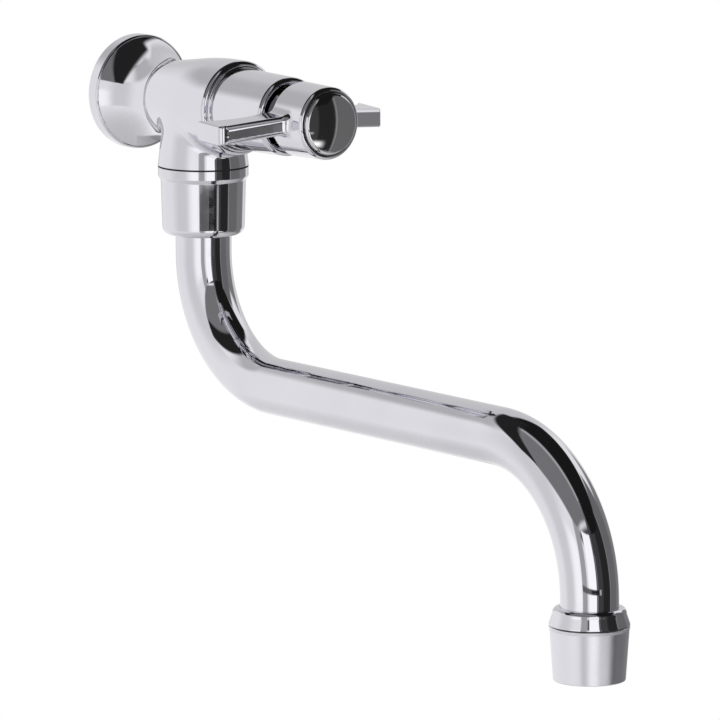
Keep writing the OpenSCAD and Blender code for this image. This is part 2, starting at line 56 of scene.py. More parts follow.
# Inlet
INLET_R = 10.48
INLET_BEHIND = 14.0
INLET_FRONT = 6.0
INLET_BORE_R = 6.5
INLET_BORE_S = 40.0
INLET_SIDES = 144
TAIL_R = 10.0
TAIL_GAP = 0.05
THREAD_PITCH = 1.814
THREAD_DEPTH = 1.16
THREAD_CHAMFER = 1.0
THREAD_LEAD = 1.5
THREAD_FADE = 1.2
THREAD_FLAT = 0.12
THREAD_ROWS = 12

# Rosette
ROSETTE_R = 22.6
ROSETTE_RIM = 4.6
ROSETTE_LEN = 27.0
ROSETTE_NECK_R = 14.06
ROSETTE_FLARE = 4.5
ROSETTE_WALL = 1.6
RIM_STEP = 1.0
RIM_RISE = 0.9
RIM_ROUND = 0.88
RIM_EDGE_R = 0.3
NECK_T = 6.5

# Valve body
BARREL_R = 18.6
S_FULL = 64.9
S_LIP = 71.1
LIP_ROUND = 1.9
LIP_FROM = 67.0
LIP_BORE_R = 12.0
CONE_SLOPE = 0.142
ARC_RUN = 18.0
BARREL_UNDER = 1.5
SWIVEL_S = 45.6
BRANCH_R = 17.9
BRANCH_TOP_R = 14.9
BRANCH_FILLET = 3.0
SPIGOT_R = 15.05
Z_JOINT = -25.0
BODY_GRID = 0.55
BODY_HALF = 20.2
BODY_MARGIN = 1.3
LIP_MARGIN = 0.8

# Headwork cover
BEAD_LEN = 1.6
BEAD_R = 16.9
BEAD_BORE_R = 14.3
S_BONNET = 72.7
BONNET_R = 15.8
BONNET_FRONT_R = 15.3
BONNET_LEN = 30.5
BONNET_ROUND = 1.8
BONNET_EDGE_R = 0.25
BONNET_WALL = 1.5
MOUTH_R = 12.2
MOUTH_LIP = 2.6
MOUTH_BEVEL = 1.1
MOUTH_RIM_R = 0.1
MOUTH_EDGE_R = 0.2

# Handle
S_HUB = 109.5
S_FRONT = 128.0
HUB_R = 14.45
HUB_FRONT_R = 14.05
HUB_LEN = 18.5
HUB_ROUND = 1.5
HUB_FRONT_LEN = 2.6
EDGE_R = 0.7
WING_SPAN = 38.9
WING_T = 7.4
WING_DEPTH = 17.0
WING_SETBACK = 17.0
WING_BEHIND = 2.0
WING_ROOT_X = 12.0
WING_SWEEP = 21.0
WING_DROOP = 6.5
WING_PITCH = 6.0
WING_TILT = 0.7
WING_ROUND = 2.1
WING_FILLET = 2.4
TIP_R = 2.4
TIP_SETBACK = 0.4
TIP_SOFT = 0.9
REAR_SOFT = 0.8
HOLLOW_GAP = 0.3
HOLLOW_OVERLAP = 1.0
HANDLE_GRID = 0.42
HANDLE_HALF = 15.8
HANDLE_MARGIN = 1.6
CUT_MARGIN = 1.2
SKIRT_BACK = 7.4
SKIRT_BORE_R = 8.6
SKIRT_BORE_LEN = 8.1
SKIRT_GAP = 0.1
SKIRT_CLEAR = 0.8
SKIRT_OVERLAP = 0.4
SKIRT_INNER_EDGE_R = 0.2
SKIRT_EDGE_R = 0.3
CAP_R = 12.0
CAP_T = 3.4
CAP_GAP = 0.12
CAP_RISE = 3.2
CAP_EDGE_R = 1.5
CAP_MEET = 72.0

# Union nut
NUT_BAND_R = 17.8
NUT_R = 16.75
NUT_FOOT_R = 16.1
NUT_H = 27.1
NUT_ROUND = 3.4
NUT_BAND_H = 3.8
NUT_CHAMFER = 1.6
NUT_EDGE_R = 0.5
NUT_CLEAR = 0.4
NUT_BORE_H = 15.5
NUT_BUSH_R = 13.9
NUT_FLOOR_T = 5.4
Z_NUT = -52.1

# Spout tube
TUBE_R = 11.0
TUBE_WALL = 1.2
TUBE_OVERRUN = 1.6
TUBE_SIDES = 160
TUBE_DROP_ROWS = 8
TUBE_BEND_ROWS = 60
TUBE_RUN_ROWS = 24
TUBE_END_ROWS = 5
BEND1_R = 47.4
BEND2_R = 53.7
ZC1 = -59.4
RUN_Z = -106.8
ZC2 = -160.5
OUT_S = 286.6

# Aerator
AER_R = 15.2
AER_MOUTH_R = 13.5
Z_RING = -163.5
RING_H = 6.8
RING_BORE_R = 9.8
RING_TAPER = 1.3
RING_BAND_H = 0.4
RING_BAND_EDGE_R = 0.5
RING_SHOULDER_H = 2.2
RING_SHOULDER_R = 0.8
RING_TOP_R = 2.0
RING_LIP_R = 0.15
RING_GAP = 0.02
RING_SOCKET_H = 1.2
Z_LINE = -170.3
SHELL_H = 20.7
SHELL_TAPER = 0.35
SHELL_BORE_R = 12.0
SHELL_LIP_R = 10.5
SHELL_LIP_T = 1.0
SHELL_LIP_EDGE_R = 0.25
SHELL_MOUTH_EDGE_R = 0.4
SHELL_NECK_H = 1.6
SHELL_NECK_ROUND = 1.5
SHELL_TOP_EDGE_R = 0.15
Z_MOUTH = -191.0

# The small chamfer where two pieces meet. It is painted near black, as the shade in the gap between
# them, and so draws a dark line
BREAK_W = 0.35

# Mesh making: steps of arcs are in degrees
LATHE_SIDES = 256
CORNER_STEP = 6.0
ARC_STEP = 2.0
LIP_STEP = 3.0
BEAD_STEP = 6.0
CAP_EDGE_STEP = 4.0
DOME_STEP = 0.5
PROBE = 0.02
TINY = 1e-4
SETTLE_ROUNDS = 5
SLOPE_FLOOR = 0.2
FAR_INSIDE = -9.0

# Camera ------------------------------------------------------------------
# Fitted to outlines in the photo: film and lens in millimetres, turns in degrees, place in metres.

FILM_W = 36.0
LENS = 381.348
CLIP_END = 60.0
CAMERA_TURN = -37.317
CAMERA_RISE = 9.38715
CAMERA_ROLL = -0.09425
CAMERA_PLACE = (-1.7465353, -2.4379495, 0.3870636)

camera_data = bpy.data.cameras.new("camera")
camera_data.sensor_width = FILM_W
camera_data.lens = LENS
camera_data.clip_end = CLIP_END
camera = bpy.data.objects.new("camera", camera_data)
bpy.context.scene.collection.objects.link(camera)
camera_turn = Matrix.Rotation(math.radians(CAMERA_TURN), 4, "Z")
camera_tip = Matrix.Rotation(math.radians(90.0 - CAMERA_RISE), 4, "X")
camera_roll = Matrix.Rotation(math.radians(CAMERA_ROLL), 4, "Z")
camera_place = Matrix.Translation(CAMERA_PLACE)
camera.matrix_world = camera_place @ camera_turn @ camera_tip @ camera_roll
bpy.context.scene.camera = camera

# Mesh helpers ------------------------------------------------------------


def barrel(r, a, angle):
    """Point at radius r and station a around the barrel axis."""
    return np.stack([r * np.cos(angle), -a + 0 * angle, r * np.sin(angle)], -1)


def upright(y0):
    """Returns a placing like barrel() around a vertical axis, with heights in place of stations."""

    def place(r, a, angle):
        return np.stack([r * np.cos(angle), y0 + r * np.sin(angle), a + 0 * angle], -1)

    return place


swivel = upright(-SWIVEL_S)
outlet = upright(-OUT_S)


def unit(vector):
    """The vector's direction, one long."""
    return vector / np.linalg.norm(vector)


def rounding(at, direction, after, fillet, step):
    """Where the rounding of a profile's corner begins, and its points with their normals."""
    cross = direction[0] * after[1] - direction[1] * after[0]
    turn = math.atan2(cross, float(direction @ after))
    if abs(turn) <= TINY:
        return at, []
    begin = at - direction * (fillet * math.tan(abs(turn) / 2))
    side = 1.0 if turn > 0 else -1.0
    normal = np.array([direction[1], -direction[0]])
    centre = begin - side * fillet * normal
    count = max(3, int(math.ceil(abs(math.degrees(turn)) / step)))
    bend = []
    for k in range(count + 1):
        c = math.cos(turn * k / count)
        s = math.sin(turn * k / count)
        n = np.array([c * normal[0] - s * normal[1], s * normal[0] + c * normal[1]])
        bend.append((centre + side * fillet * n, n))
    return begin, bend


def corner(points, step=CORNER_STEP):
    """Polyline with rounded corners as segments (p0, n0, p1, n1, kind).

    A point is (r, a), (r, a, fillet) or (r, a, fillet, kind), and kind is the material of the
    segment after it.
    """
    pts = [np.array(p[:2], float) for p in points]
    fillets = [p[2] if len(p) > 2 else 0.0 for p in points]
    kinds = [p[3] if len(p) > 3 else 0 for p in points]
    segments = []
    here = pts[0]
    for i in range(len(pts) - 1):
        direction = unit(pts[i + 1] - pts[i])
        normal = np.array([direction[1], -direction[0]])
        end = pts[i + 1]
        bend = []
        if i + 2 < len(pts) and fillets[i + 1] > 0:
            after = unit(pts[i + 2] - pts[i + 1])
            end, bend = rounding(end, direction, after, fillets[i + 1], step)
        segments.append((here, normal, end, normal, kinds[i]))
        for (p0, n0), (p1, n1) in zip(bend, bend[1:]):
            segments.append((p0, n0, p1, n1, kinds[i + 1]))
        here = bend[-1][0] if bend else end
    return segments


def arc(cr, ca, radius, start, stop, sign=1.0, step=ARC_STEP):
    """Arc of a profile, in degrees, with its normals pointing out (sign 1) or in (sign -1)."""
    count = max(2, int(math.ceil(abs(stop - start) / step)))
    angles = np.radians(np.linspace(start, stop, count + 1))
    n = np.stack([np.cos(angles), np.sin(angles)], -1)
    p = np.array([cr, ca]) + radius * n
    n = n * sign
    return [(p[k], n[k], p[k + 1], n[k + 1], 0) for k in range(count)]


def shifted(segments, start):
    """Moves a profile along its axis."""
    d = np.array([0.0, start])
    return [(p0 + d, n0, p1 + d, n1, k) for p0, n0, p1, n1, k in segments]


def add_mesh(name, verts, faces, loop_normals, kinds, materials, body):
    """Object from millimetre points, with exact normals at every face corner."""
    mesh = bpy.data.meshes.new(name)
    mesh.from_pydata((np.asarray(verts) * MM).tolist(), [], faces)
    mesh.polygons.foreach_set("use_smooth", [True] * len(mesh.polygons))
    for mat in materials:
        mesh.materials.append(mat)
    if kinds is not None:
        mesh.polygons.foreach_set("material_index", kinds)
    mesh.update()
    mesh.normals_split_custom_set(np.asarray(loop_normals).tolist())
    obj = bpy.data.objects.new(name, mesh)
    bpy.context.scene.collection.objects.link(obj)
    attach(obj, body)
    return obj


def lathe(name, segments, place, materials, body, count=LATHE_SIDES):
    """Surface of revolution. Its segments run so that the outside lies to their right."""
    angle = np.arange(count) * 2 * math.pi / count
    verts = []
    rings = {}

    def ring(p):
        key = (round(float(p[0]), 5), round(float(p[1]), 5))
        if key not in rings:
            if p[0] < TINY:
                rings[key] = [len(verts)] * count
                verts.append(place(0.0, p[1], angle[:1])[0])
            else:
                rings[key] = list(range(len(verts), len(verts) + count))
                verts.extend(place(p[0], p[1], angle))
        return rings[key]

    faces = []
    normals = []
    kinds = []
    zero = place(0.0, 0.0, angle)
    for p0, n0, p1, n1, kind in segments:
        a = ring(p0)
        b = ring(p1)
        na = place(n0[0], n0[1], angle) - zero
        nb = place(n1[0], n1[1], angle) - zero
        for i in range(count):
            j = (i + 1) % count
            loop = [(a[i], na[i]), (a[j], na[j]), (b[j], nb[j]), (b[i], nb[i])]
            kept = []
            for v in loop:
                if v[0] not in [k[0] for k in kept]:
                    kept.append(v)
            if len(kept) < 3:
                continue
            faces.append([k[0] for k in kept])
            normals.extend([k[1] for k in kept])
            kinds.append(kind)
    return add_mesh(name, verts, faces, normals, kinds, materials, body)


def grid_mesh(name, points, normals, materials, body):
    """Closed-around surface from a grid of points and normals, rows along and columns around."""
    rows, cols = points.shape[:2]
    verts = points.reshape(-1, 3)
    flat = normals.reshape(-1, 3)
    faces = []
    loops = []
    for i in range(rows - 1):
        for j in range(cols):
            k = (j + 1) % cols
            face = [i * cols + j, i * cols + k, (i + 1) * cols + k, (i + 1) * cols + j]
            faces.append(face)
            loops.extend(flat[face])
    return add_mesh(name, verts, faces, loops, None, materials, body)


def soft_min(a, b, k):
    """Union of two fields with a fillet about k wide."""
    h = np.maximum(k - np.abs(a - b), 0.0) / k
    return np.minimum(a, b) - h * h * k / 4


def soft_max(a, b, k):
    """Intersection of two fields with an edge rounded about k wide."""
    return -soft_min(-a, -b, k)


def rounded(qa, qb, radius):
    """Corner of two faces, rounded. Each q is a distance out from a plane radius inside its face."""
    way = np.sqrt(np.maximum(qa, 0) ** 2 + np.maximum(qb, 0) ** 2)
    return way + np.minimum(np.maximum(qa, qb), 0) - radius


def gradient(field, p):
    """Gradient of a field at points p."""
    out = []
    for axis in range(3):
        d = np.zeros(3)
        d[axis] = PROBE
        hi = p + d
        lo = p - d
        out.append(field(hi[:, 0], hi[:, 1], hi[:, 2]) - field(lo[:, 0], lo[:, 1], lo[:, 2]))
    return np.stack(out, -1) / (2 * PROBE)


def neighbours(axis, across):
    """Slices of a grid for its points and for the next ones along an axis."""
    lower = [across] * 3
    upper = [across] * 3
    lower[axis] = slice(0, -1)
    upper[axis] = slice(1, None)
    return tuple(lower), tuple(upper)


def crossing_points(value, base, step):
    """Mean point of a surface in each grid cell it crosses, and the point's number per cell."""
    inside = value < 0
    cell_shape = tuple(n - 1 for n in value.shape)
    total = np.zeros(cell_shape + (3,))
    hits = np.zeros(cell_shape)
    for axis in range(3):
        lower, upper = neighbours(axis, slice(None))
        va = value[lower]
        vb = value[upper]
        cross = inside[lower] != inside[upper]
        share = np.where(cross, va / np.where(cross, va - vb, 1.0), 0.0)
        point = base[lower].copy()
        point[..., axis] += share * step
        first, second = [k for k in range(3) if k != axis]
        for da in (0, 1):
            for db in (0, 1):
                take = [slice(None)] * 3
                take[first] = slice(da, da + cell_shape[first])
                take[second] = slice(db, db + cell_shape[second])
                picked = cross[tuple(take)]
                total += point[tuple(take)] * picked[..., None]
                hits += picked
    active = hits > 0
    index = np.full(cell_shape, -1)
    index[active] = np.arange(int(active.sum()))
    return total[active] / hits[active][:, None], index


def crossing_faces(inside, index):
    """Quads of cell points around the grid's edges that the surface crosses, facing out."""
    faces = []
    for axis in range(3):
        lower, upper = neighbours(axis, slice(1, -1))
        cells = np.argwhere(inside[lower] != inside[upper])
        first, second = [k for k in range(3) if k != axis]
        cells[:, [first, second]] += 1
        sign = inside[tuple(cells.T)]
        quad = []
        for da, db in ((0, 0), (1, 0), (1, 1), (0, 1)):
            at = cells.copy()
            at[:, first] -= 1 - da
            at[:, second] -= 1 - db
            quad.append(index[tuple(at.T)])
        quad = np.stack(quad, -1)
        turned = sign if axis != 1 else ~sign
        quad[~turned] = quad[~turned][:, ::-1]
        faces.append(quad)
    faces = np.concatenate(faces)
    return faces[(faces >= 0).all(1)]


def trim(verts, faces, point, keep):
    """Keeps the faces on one side of a plane, and draws their edge onto it."""
    side = (verts - point) @ keep
    kept = (side[faces] > 0).all(1)
    near = (side[faces] > 0).any(1) & ~kept
    moved = verts.copy()
    rim = np.unique(faces[near].ravel())
    rim = rim[side[rim] <= 0]
    moved[rim] -= keep * side[rim][:, None]
    return moved, faces[kept | near]


def skin(name, field, low, high, step, materials, body, cuts=()):
    """Smooth skin where a field is zero, with its exact normals. A cut is (point, way kept)."""
    axes = [np.arange(lo, hi + step, step) for lo, hi in zip(low, high)]
    grid = np.meshgrid(*axes, indexing="ij")
    value = field(*grid)
    verts, index = crossing_points(value, np.stack(grid, -1), step)
    for _ in range(SETTLE_ROUNDS):
        g = gradient(field, verts)
        size = np.maximum((g * g).sum(-1), SLOPE_FLOOR)
        miss = field(verts[:, 0], verts[:, 1], verts[:, 2])
        verts = verts - g * np.clip(miss / size, -step, step)[:, None]
    faces = crossing_faces(value < 0, index)
    for point, keep in cuts:
        verts, faces = trim(verts, faces, np.array(point, float), np.array(keep, float))
    g = gradient(field, verts)
    g = g / np.maximum(np.linalg.norm(g, axis=1), 1e-9)[:, None]
    loops = [g[i] for face in faces for i in face]
    return add_mesh(name, verts, [list(f) for f in faces], loops, None, materials, body)


# Materials ---------------------------------------------------------------
# Scales are per metre, and depths in metres.

NOISE_SPAN = (0.35, 0.65)
GRAIN_SPAN = (0.3, 0.7)
HAZE_SCALE = 38.0
WIPE_SCALE = 210.0
WIPE_STRETCH = (1.0, 0.25, 1.0)
PEEL_SCALE = 120.0
PEEL_DEPTH = 0.00001
SATIN_ANISOTROPY = 0.2


def material(name, color, metallic, roughness):
    """Principled material and its shader node."""
    mat = bpy.data.materials.new(name)
    mat.use_nodes = True
    shader = mat.node_tree.nodes["Principled BSDF"]
    shader.inputs["Base Color"].default_value = (*color, 1.0)
    shader.inputs["Metallic"].default_value = metallic
    shader.inputs["Roughness"].default_value = roughness
    return mat, shader


def noise(mat, scale, detail=3.0, stretch=(1.0, 1.0, 1.0)):
    """Noise in object space, stretched along the axes."""
    nodes = mat.node_tree.nodes
    links = mat.node_tree.links
    place = nodes.new("ShaderNodeTexCoord")
    mapping = nodes.new("ShaderNodeMapping")
    mapping.inputs["Scale"].default_value = stretch
    texture = nodes.new("ShaderNodeTexNoise")
    texture.inputs["Scale"].default_value = scale
    texture.inputs["Detail"].default_value = detail
    links.new(place.outputs["Object"], mapping.inputs["Vector"])
    links.new(mapping.outputs["Vector"], texture.inputs["Vector"])
    return texture.outputs["Fac"]


def between(mat, source, low, high):
    """Maps the middle of a noise onto a range of values."""
    node = mat.node_tree.nodes.new("ShaderNodeMapRange")
    node.inputs["From Min"].default_value = NOISE_SPAN[0]
    node.inputs["From Max"].default_value = NOISE_SPAN[1]
    node.inputs["To Min"].default_value = low
    node.inputs["To Max"].default_value = high
    mat.node_tree.links.new(source, node.inputs["Value"])
    return node.outputs["Result"]


def ramp(mat, source, span, low, high):
    """Colour ramp over a span of a value, from a low colour to a high one."""
    node = mat.node_tree.nodes.new("ShaderNodeValToRGB")
    for element, position, color in zip(node.color_ramp.elements, span, (low, high)):
        element.position = position
        element.color = (*color, 1.0)
    mat.node_tree.links.new(source, node.inputs["Fac"])
    return node.outputs["Color"]


def bump(mat, shader, height, distance):
    """Adds a bump to the shader's normal."""
    node = mat.node_tree.nodes.new("ShaderNodeBump")
    node.inputs["Distance"].default_value = distance
    node.inputs["Strength"].default_value = 1.0
    mat.node_tree.links.new(height, node.inputs["Height"])
    mat.node_tree.links.new(node.outputs["Normal"], shader.inputs["Normal"])


def make_chrome(name, color, dull, low, high):
    """Plated brass: a mirror with faint wipe marks, a little orange peel and thin haze."""
    mat, shader = material(name, color, 1.0, low)
    links = mat.node_tree.links
    haze = noise(mat, HAZE_SCALE, 4.0)
    links.new(ramp(mat, haze, NOISE_SPAN, dull, color), shader.inputs["Base Color"])
    wipe = noise(mat, WIPE_SCALE, 2.0, WIPE_STRETCH)
    links.new(between(mat, wipe, low, high), shader.inputs["Roughness"])
    bump(mat, shader, noise(mat, PEEL_SCALE, 1.0), PEEL_DEPTH)
    return mat


def make_grained(name, color, metallic, roughness, grain, tones=None, polish=None, relief=None):
    """Finish with one noise, which may vary its colour, its roughness and its depth."""
    mat, shader = material(name, color, metallic, roughness)
    links = mat.node_tree.links
    source = noise(mat, *grain)
    if tones:
        links.new(ramp(mat, source, GRAIN_SPAN, *tones), shader.inputs["Base Color"])
    if polish:
        links.new(between(mat, source, *polish), shader.inputs["Roughness"])
    if relief:
        bump(mat, shader, source, relief)
    return mat


chrome = make_chrome("chrome", (0.72, 0.71, 0.755), (0.69, 0.685, 0.735), 0.03, 0.06)
cap_chrome = make_chrome("cap_chrome", (0.71, 0.71, 0.73), (0.67, 0.67, 0.69), 0.05, 0.08)

satin_grain = (900.0, 2.0, (0.25, 0.25, 3.0))
satin = make_grained(
    "satin_chrome", (0.76, 0.75, 0.80), 1.0, 0.32, satin_grain, None, (0.30, 0.34), 0.000002
)
satin.node_tree.nodes["Principled BSDF"].inputs["Anisotropic"].default_value = SATIN_ANISOTROPY

# Near-black finish of the chamfers and gap floors between pieces: painted shade, standing in for the
# dark gap between the parts
painted_gap_shade_tones = ((0.008, 0.008, 0.009), (0.03, 0.03, 0.033))
painted_gap_shade = make_grained("painted_gap_shade", (0.012, 0.012, 0.014), 0.0, 0.7, (500.0,), painted_gap_shade_tones)

rubber_tones = ((0.012, 0.012, 0.012), (0.035, 0.035, 0.035))
rubber = make_grained("rubber", (0.02, 0.02, 0.02), 0.0, 0.6, (900.0,), rubber_tones, None, 0.00003)

ceramic_tones = ((0.86, 0.84, 0.78), (0.93, 0.92, 0.88))
ceramic = make_grained("ceramic", (0.9, 0.88, 0.82), 0.0, 0.25, (700.0,), ceramic_tones)

plastic_tones = ((0.80, 0.80, 0.78), (0.88, 0.88, 0.87))
plastic = make_grained(
    "white_plastic", (0.86, 0.86, 0.84), 0.0, 0.42, (800.0,), plastic_tones, None, 0.00002
)

brass_grain = (700.0, 2.0, (0.3, 4.0, 0.3))
brass_tones = ((0.62, 0.44, 0.18), (0.78, 0.60, 0.30))
brass = make_grained(
    "brass", (0.72, 0.53, 0.24), 1.0, 0.25, brass_grain, brass_tones, (0.18, 0.34), 0.00002
)

steel = make_grained("steel", (0.56, 0.56, 0.58), 1.0, 0.3, (800.0,), None, (0.22, 0.38), 0.00001)

SLOT_MATERIALS = {
    "chrome": chrome,
    "cap_chrome": cap_chrome,
    "satin_chrome": satin,
    "rubber": rubber,
    "ceramic": ceramic,
    "white_plastic": plastic,
    "brass": brass,
    "steel": steel,
}
for entry in frame["record"]["subparts"]:
    node_object = NODES[entry["node"]]
    node_object.data.materials.clear()
    node_object.data.materials.append(SLOT_MATERIALS[entry["material_slot"]])


def stands_for(obj, slot, *names):
    """Hides the CAD nodes whose place the piece takes."""
    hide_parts(*names)


# Rosette -----------------------------------------------------------------

# The bell's profile is one arc that flares again at the neck. The inner face follows it.
neck_s = ROSETTE_LEN - ROSETTE_FLARE
bell_r = ROSETTE_R - RIM_STEP
bell_s = ROSETTE_RIM + RIM_RISE
bell_run = neck_s - bell_s
bell_fall = bell_r - ROSETTE_NECK_R
bell_arc = (bell_run**2 + bell_fall**2) / (2 * bell_fall)
bell_cr = ROSETTE_NECK_R + bell_arc
flare_run = math.sqrt(bell_arc**2 - ROSETTE_FLARE**2)
arc_start = math.degrees(math.atan2(bell_s - neck_s, bell_r - bell_cr))
arc_end = math.degrees(math.atan2(ROSETTE_LEN - neck_s, -flare_run))
inner_arc = bell_arc + ROSETTE_WALL
inner_r = ROSETTE_R - ROSETTE_WALL
inner_s = neck_s - math.sqrt(inner_arc**2 - (bell_cr - inner_r) ** 2)
inner_start = math.degrees(math.atan2(inner_s - neck_s, inner_r - bell_cr))
inner_stop_s = ROSETTE_LEN - NECK_T
inner_stop_r = bell_cr - math.sqrt(inner_arc**2 - (inner_stop_s - neck_s) ** 2)
inner_stop = math.degrees(math.atan2(inner_stop_s - neck_s, inner_stop_r - bell_cr))
rosette_segments = corner(
    [
        (inner_r, 0.0),
        (ROSETTE_R, 0.0, RIM_EDGE_R),
        (ROSETTE_R, bell_s, RIM_ROUND),
        (bell_r, bell_s),
    ]
)
rosette_segments += arc(bell_cr, neck_s, bell_arc, 360.0 + arc_start, arc_end, -1.0)
rosette_back = [
    (bell_cr - flare_run, ROSETTE_LEN),
    (TAIL_R + TAIL_GAP, ROSETTE_LEN),
    (TAIL_R + TAIL_GAP, inner_stop_s),
    (inner_stop_r, inner_stop_s),
]
rosette_segments += corner(rosette_back)
rosette_segments += arc(bell_cr, neck_s, inner_arc, 360.0 + inner_stop, 360.0 + inner_start, 1.0)
rosette_segments += corner([(inner_r, inner_s), (inner_r, 0.0)])
rosette = lathe("rosette_skin", rosette_segments, barrel, [chrome], "body")
stands_for(rosette, "chrome", "rosette")

# Valve body --------------------------------------------------------------

barrel_arc = ARC_RUN / math.sin(math.atan(CONE_SLOPE))
cone_end_s = S_FULL - ARC_RUN
cone_end_r = BARREL_R - barrel_arc * (1 - math.cos(math.atan(CONE_SLOPE)))


def body_field(x, y, z):
    """Barrel with its lip, joined to the outlet branch by a small fillet."""
    s = -y
    rho = np.sqrt(x * x + z * z)
    cone = cone_end_r + CONE_SLOPE * (s - cone_end_s)
    lift = np.clip(s - S_FULL, -ARC_RUN, 0.0)
    swell = BARREL_R - barrel_arc + np.sqrt(barrel_arc**2 - lift**2)
    side = rho - np.where(s < cone_end_s, cone, swell)
    lip = rounded(rho - (BARREL_R - LIP_ROUND), s - (S_LIP - LIP_ROUND), LIP_ROUND)
    tube = np.maximum(np.maximum(side, lip), ROSETTE_LEN - BARREL_UNDER - s)
    around = np.sqrt(x * x + (s - SWIVEL_S) ** 2)
    share = (z - Z_JOINT) / -Z_JOINT
    wall = around - (BRANCH_R + (BRANCH_TOP_R - BRANCH_R) * share)
    branch = np.maximum(wall, z)
    return soft_min(tube, branch, BRANCH_FILLET)


body_low = (-BODY_HALF, -S_LIP - LIP_MARGIN, Z_JOINT - BODY_MARGIN)
body_high = (BODY_HALF, -ROSETTE_LEN + BARREL_UNDER + BODY_MARGIN, BODY_HALF)
body_cuts = [
    ((0, 0, Z_JOINT + BREAK_W), (0, 0, 1)),
    ((0, -ROSETTE_LEN, 0), (0, -1, 0)),
    ((0, -LIP_FROM, 0), (0, 1, 0)),
]
valve = skin(
    "valve_body_skin", body_field, body_low, body_high, BODY_GRID, [chrome], "body", body_cuts
)
stands_for(valve, "chrome", "valve_body")
lip_points = [(BARREL_R, LIP_FROM), (BARREL_R, S_LIP, LIP_ROUND), (LIP_BORE_R, S_LIP)]
lip_segments = corner(lip_points, LIP_STEP)
valve_lip = lathe("valve_body_lip", lip_segments, barrel, [chrome], "body")
stands_for(valve_lip, "chrome", "valve_body")
# The chamfer at the joint over the nut is painted near black, as the shade in the gap
break_segments = corner(
    [
        (SPIGOT_R, Z_JOINT),
        (BRANCH_R - BREAK_W, Z_JOINT, 0.0, 1),
        (BRANCH_R, Z_JOINT + BREAK_W),
    ]
)
valve_break = lathe("valve_body_break", break_segments, swivel, [chrome, painted_gap_shade], "body")
stands_for(valve_break, "chrome", "valve_body")

# Inlet -------------------------------------------------------------------
# A real thread, with its start chamfered, on the tail behind the rosette.


def inlet_thread():
    """Helical thread on the tail, from its end behind the wall, as points and normals."""
    turn = np.arange(INLET_SIDES) / INLET_SIDES
    rows = np.arange(-INLET_BEHIND, INLET_FRONT + 1e-6, THREAD_PITCH / THREAD_ROWS)
    s, t = np.meshgrid(rows, turn, indexing="ij")
    phase = (s / THREAD_PITCH - t) % 1.0
    saw = 2 * np.abs(phase - 0.5)
    tooth = np.clip((saw - THREAD_FLAT) / (1 - 2 * THREAD_FLAT), 0.0, 1.0)
    tooth = tooth * tooth * (3 - 2 * tooth)
    lead = np.clip((s + INLET_BEHIND) / THREAD_LEAD, 0.0, 1.0)
    fade = np.clip((INLET_FRONT - s) / THREAD_FADE, 0.0, 1.0)
    crest = INLET_R - THREAD_CHAMFER * (1 - lead)
    r = crest - THREAD_DEPTH * (1 - tooth) * fade * np.minimum(lead * 2, 1.0)
    angle = t * 2 * math.pi
    points = np.stack([r * np.cos(angle), -s, r * np.sin(angle)], -1)
    along = np.gradient(points, axis=0)
    around = (np.roll(points, -1, 1) - np.roll(points, 1, 1)) / 2
    normals = np.cross(along, around)
    normals = normals / np.linalg.norm(normals, axis=-1)[..., None]
    out = (normals * np.stack([np.cos(angle), 0 * s, np.sin(angle)], -1)).sum(-1)
    normals = normals * np.where(out < 0, -1.0, 1.0)[..., None]
    return points, normals


thread_points, thread_normals = inlet_thread()
thread = grid_mesh("inlet_thread_skin", thread_points, thread_normals, [chrome], "body")
stands_for(thread, "chrome", "valve_body")
tail_end_r = INLET_R - THREAD_CHAMFER
tail_points = [
    (INLET_BORE_R, INLET_BORE_S),
    (INLET_BORE_R, -INLET_BEHIND),
    (tail_end_r, -INLET_BEHIND),
]
tail = lathe("inlet_tail_skin", corner(tail_points), barrel, [chrome], "body", INLET_SIDES)
stands_for(tail, "chrome", "valve_body")

# Headwork cover ----------------------------------------------------------

bead_half = BEAD_LEN / 2
bead_segments = corner([(BEAD_BORE_R, 0.0), (BEAD_R - bead_half, 0.0)])
bead_segments += arc(BEAD_R - bead_half, bead_half, bead_half, -90.0, 90.0, 1.0, BEAD_STEP)
bead_segments += corner([(BEAD_R - bead_half, BEAD_LEN), (BEAD_BORE_R, BEAD_LEN)])
bead = lathe("bead_ring_skin", shifted(bead_segments, S_LIP), barrel, [chrome], "body")
stands_for(bead, "chrome", "bead_ring")

bonnet_profile = corner(
    [
        (BONNET_R - BONNET_WALL, 0.0),
        (BONNET_R, 0.0, BONNET_EDGE_R),
        (BONNET_FRONT_R, BONNET_LEN, BONNET_ROUND),
        (MOUTH_R + MOUTH_BEVEL, BONNET_LEN, MOUTH_RIM_R),
        (MOUTH_R, BONNET_LEN - MOUTH_BEVEL, MOUTH_EDGE_R),
        (MOUTH_R, BONNET_LEN - MOUTH_LIP, MOUTH_EDGE_R),
        (BONNET_R - BONNET_WALL, BONNET_LEN - MOUTH_LIP),
        (BONNET_R - BONNET_WALL, 0.0),
    ]
)
bonnet = lathe("bonnet_skin", shifted(bonnet_profile, S_BONNET), barrel, [chrome], "body")
stands_for(bonnet, "chrome", "bonnet_sleeve")

# Handle ------------------------------------------------------------------

wing_front = S_FRONT - WING_SETBACK
wing_back = S_HUB - WING_BEHIND
root_s = wing_front + WING_SPAN * math.tan(math.radians(WING_SWEEP))
root_z = WING_ROOT_X * math.tan(math.radians(WING_DROOP))
hollow_x = BONNET_R + HOLLOW_GAP
hollow_dx = WING_SPAN - hollow_x
hollow_ds = wing_back - wing_front + WING_DEPTH
hollow_r = (hollow_dx**2 + hollow_ds**2) / (2 * hollow_ds)
bar_turn = (
    Matrix.Rotation(math.radians(WING_SWEEP), 3, "Z")
    @ Matrix.Rotation(math.radians(WING_DROOP), 3, "Y")
    @ Matrix.Rotation(math.radians(WING_PITCH), 3, "X")
)
bar_rows = np.array(bar_turn).T


